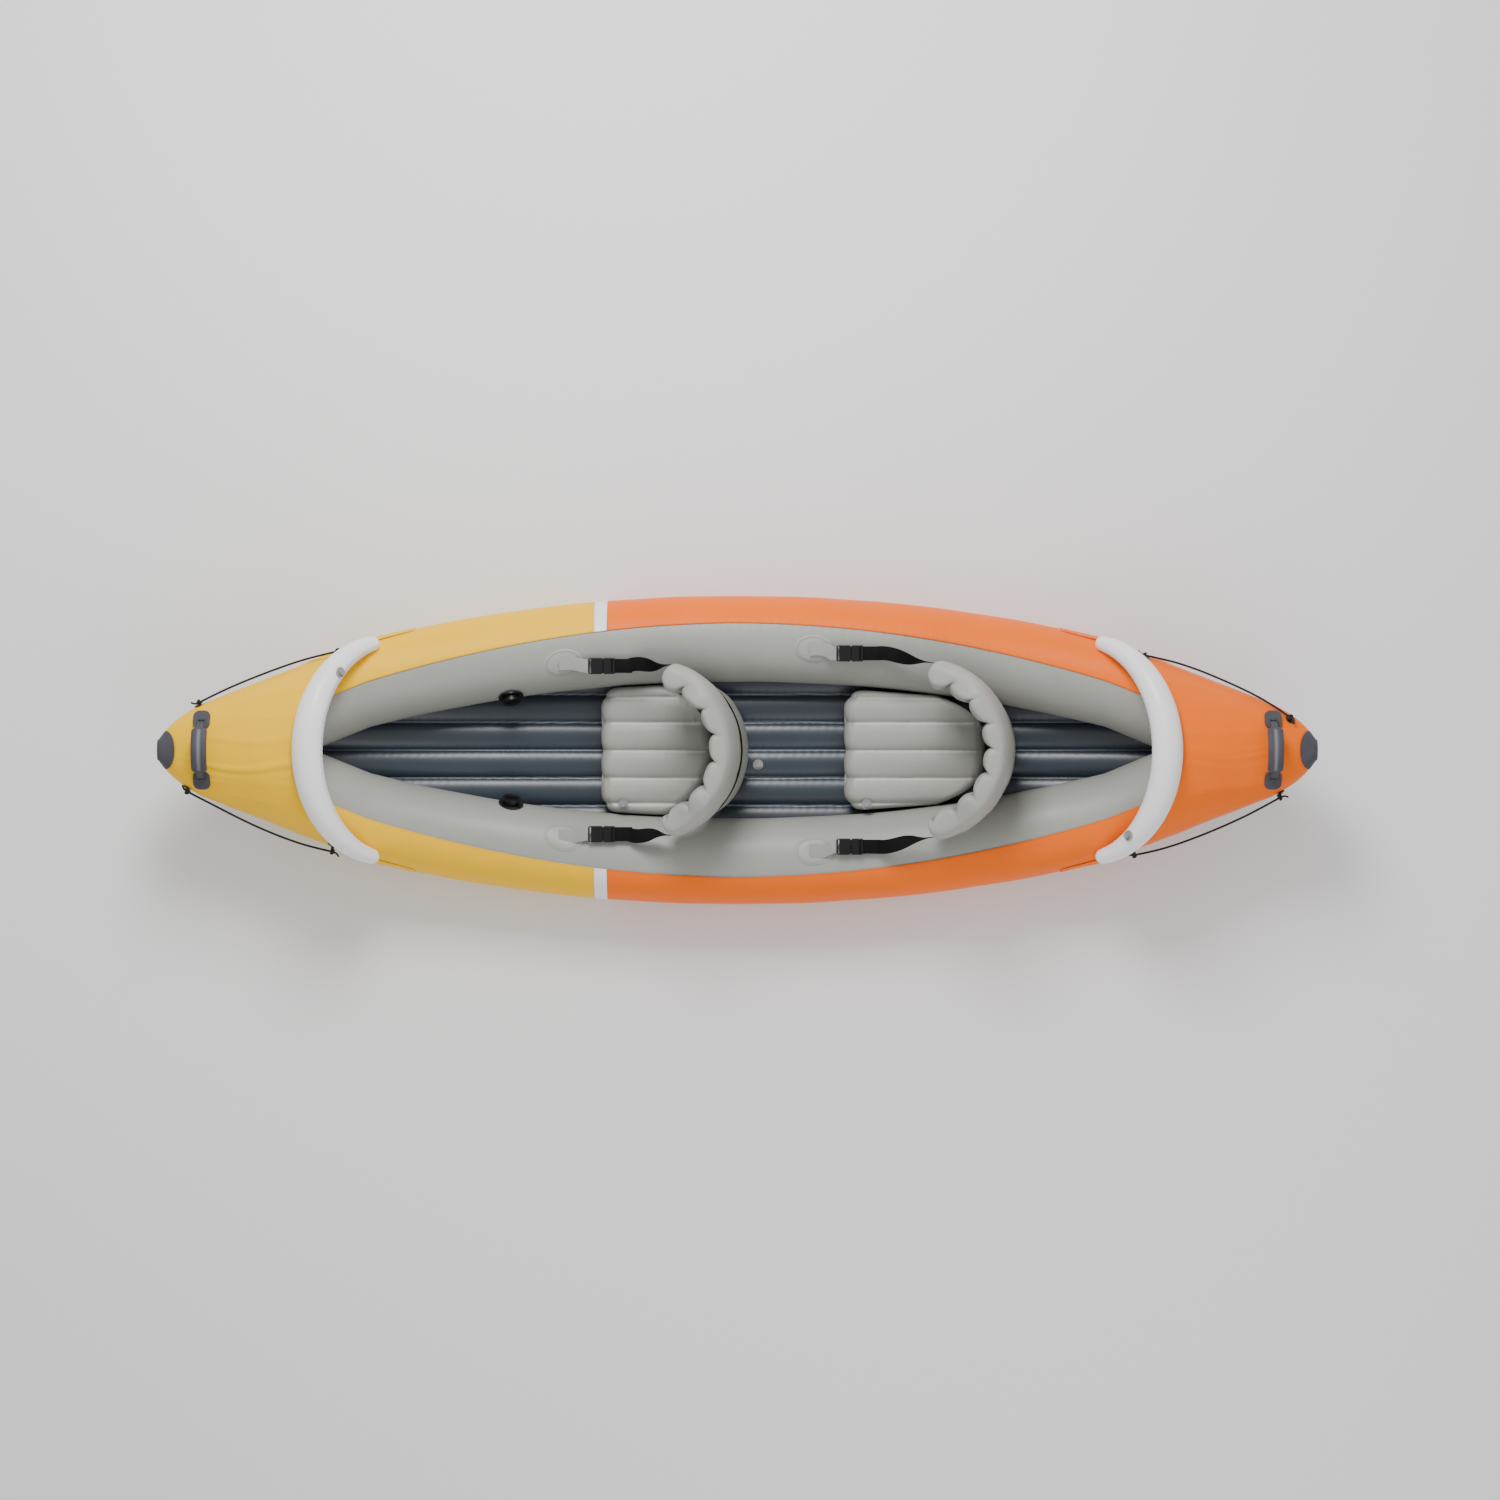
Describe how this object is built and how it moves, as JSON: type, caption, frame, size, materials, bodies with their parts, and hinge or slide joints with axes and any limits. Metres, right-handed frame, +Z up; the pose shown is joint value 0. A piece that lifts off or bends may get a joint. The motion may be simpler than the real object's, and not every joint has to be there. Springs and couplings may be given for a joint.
{
  "type": "kayak",
  "caption": "Two-seat inflatable kayak with yellow bow, orange stern, grey side chambers, white splash arches, clip-in seats with tilting backrests, carry handles and deck grab lines",
  "frame": {"origin": "on the ground under the middle of the boat", "axes": "+X aft to the stern, +Y to starboard, +Z up"},
  "size_m": [3.126, 0.843, 0.4801],
  "materials": {
    "grey_pvc": "satin inflated PVC skin, light grey",
    "yellow_pvc": "satin PVC skin, warm yellow",
    "orange_pvc": "satin PVC skin, orange",
    "white_pvc": "satin PVC skin, white",
    "navy_pvc": "satin PVC floor, dark navy",
    "seat_pvc": "soft flocked PVC, light grey",
    "dark_grey_rubber": "matt moulded rubber, dark grey",
    "black_nylon": "moulded nylon, black",
    "black_webbing": "woven polyester webbing, black",
    "black_rope": "braided cord, black",
    "grey_vinyl": "soft moulded vinyl, grey"
  },
  "bodies": {
    "hull": {"arch_valve_bodies": "grey_vinyl", "bottom_skin": "navy_pvc", "bow_deck": "yellow_pvc", "bow_nose_patch": "dark_grey_rubber", "bow_port_grab_line": "black_rope", "bow_splash_arch": "white_pvc", "bow_starboard_grab_line": "black_rope", "floor_chamber": "navy_pvc", "floor_valve_body": "grey_vinyl", "front_port_buckle_socket": "black_nylon", "front_port_side_strap": "black_webbing", "front_port_strap_patch": "grey_pvc", "front_seat_cushion": "seat_pvc", "front_starboard_buckle_socket": "black_nylon", "front_starboard_side_strap": "black_webbing", "front_starboard_strap_patch": "grey_pvc", "grab_line_eyelets": "black_nylon", "grab_line_knots": "black_rope", "handle_anchor_pads": "dark_grey_rubber", "port_bow_side_panel": "yellow_pvc", "port_side_chamber": "grey_pvc", "port_stern_side_panel": "orange_pvc", "port_valve_body": "black_nylon", "port_white_band": "white_pvc", "rear_port_buckle_socket": "black_nylon", "rear_port_side_strap": "black_webbing", "rear_port_strap_patch": "grey_pvc", "rear_seat_cushion": "seat_pvc", "rear_starboard_buckle_socket": "black_nylon", "rear_starboard_side_strap": "black_webbing", "rear_starboard_strap_patch": "grey_pvc", "seat_valve_bodies": "grey_vinyl", "starboard_bow_side_panel": "yellow_pvc", "starboard_side_chamber": "grey_pvc", "starboard_stern_side_panel": "orange_pvc", "starboard_valve_body": "black_nylon", "starboard_white_band": "white_pvc", "stern_deck": "orange_pvc", "stern_nose_patch": "dark_grey_rubber", "stern_port_grab_line": "black_rope", "stern_splash_arch": "white_pvc", "stern_starboard_grab_line": "black_rope"},
    "front_backrest": {"front_backrest": "seat_pvc", "front_back_strap": "black_webbing"},
    "front_port_buckle_plug": {"front_port_buckle_plug": "black_nylon"},
    "front_starboard_buckle_plug": {"front_starboard_buckle_plug": "black_nylon"},
    "rear_backrest": {"rear_backrest": "seat_pvc", "rear_back_strap": "black_webbing"},
    "rear_port_buckle_plug": {"rear_port_buckle_plug": "black_nylon"},
    "rear_starboard_buckle_plug": {"rear_starboard_buckle_plug": "black_nylon"},
    "bow_handle": {"bow_handle_grip": "dark_grey_rubber"},
    "bow_arch_valve_plug": {"bow_arch_valve_plug": "grey_vinyl"},
    "stern_handle": {"stern_handle_grip": "dark_grey_rubber"},
    "stern_arch_valve_plug": {"stern_arch_valve_plug": "grey_vinyl"},
    "port_valve_cap": {"port_valve_cap": "black_nylon"},
    "starboard_valve_cap": {"starboard_valve_cap": "black_nylon"},
    "floor_valve_plug": {"floor_valve_plug": "grey_vinyl"},
    "front_seat_valve_plug": {"front_seat_valve_plug": "grey_vinyl"},
    "rear_seat_valve_plug": {"rear_seat_valve_plug": "grey_vinyl"}
  },
  "joints": [
    {"name": "front_backrest_tilt", "type": "hinge", "parent": "hull", "child": "front_backrest", "pos_m": [0.028, 0, 0.088], "axis": [0, 1, 0], "range_deg": [-6, 25], "deforming": ["front_port_side_strap", "front_starboard_side_strap"]},
    {"name": "front_port_buckle_release", "type": "slide", "parent": "hull", "child": "front_port_buckle_plug", "axis": [1, 0, 0], "range_m": [0, 0.03], "deforming": ["front_port_side_strap"]},
    {"name": "front_starboard_buckle_release", "type": "slide", "parent": "hull", "child": "front_starboard_buckle_plug", "axis": [1, 0, 0], "range_m": [0, 0.03], "deforming": ["front_starboard_side_strap"]},
    {"name": "rear_backrest_tilt", "type": "hinge", "parent": "hull", "child": "rear_backrest", "pos_m": [0.745, 0, 0.09829], "axis": [0, 1, 0], "range_deg": [-6, 25], "deforming": ["rear_port_side_strap", "rear_starboard_side_strap"]},
    {"name": "rear_port_buckle_release", "type": "slide", "parent": "hull", "child": "rear_port_buckle_plug", "axis": [1, 0, 0], "range_m": [0, 0.03], "deforming": ["rear_port_side_strap"]},
    {"name": "rear_starboard_buckle_release", "type": "slide", "parent": "hull", "child": "rear_starboard_buckle_plug", "axis": [1, 0, 0], "range_m": [0, 0.03], "deforming": ["rear_starboard_side_strap"]},
    {"name": "bow_handle_swing", "type": "hinge", "parent": "hull", "child": "bow_handle", "pos_m": [-1.44, 0, 0.38933], "axis": [0, 1, 0], "range_deg": [-35, 35]},
    {"name": "bow_arch_valve_pull", "type": "slide", "parent": "hull", "child": "bow_arch_valve_plug", "axis": [0.7302, 0, 0.6832], "range_m": [0, 0.012]},
    {"name": "stern_handle_swing", "type": "hinge", "parent": "hull", "child": "stern_handle", "pos_m": [1.44, 0, 0.38933], "axis": [0, 1, 0], "range_deg": [-35, 35]},
    {"name": "stern_arch_valve_pull", "type": "slide", "parent": "hull", "child": "stern_arch_valve_plug", "axis": [-0.7302, 0, 0.6832], "range_m": [0, 0.012]},
    {"name": "port_valve_cap_pull", "type": "slide", "parent": "hull", "child": "port_valve_cap", "axis": [0.142, 0.9289, 0.342], "range_m": [0, 0.02]},
    {"name": "starboard_valve_cap_pull", "type": "slide", "parent": "hull", "child": "starboard_valve_cap", "axis": [0.142, -0.9289, 0.342], "range_m": [0, 0.02]},
    {"name": "floor_valve_pull", "type": "slide", "parent": "hull", "child": "floor_valve_plug", "axis": [0, 0, 1], "range_m": [0, 0.012]},
    {"name": "front_seat_valve_pull", "type": "slide", "parent": "hull", "child": "front_seat_valve_plug", "axis": [0, 0, 1], "range_m": [0, 0.012]},
    {"name": "rear_seat_valve_pull", "type": "slide", "parent": "hull", "child": "rear_seat_valve_plug", "axis": [0, 0, 1], "range_m": [0, 0.012]}
  ]
}
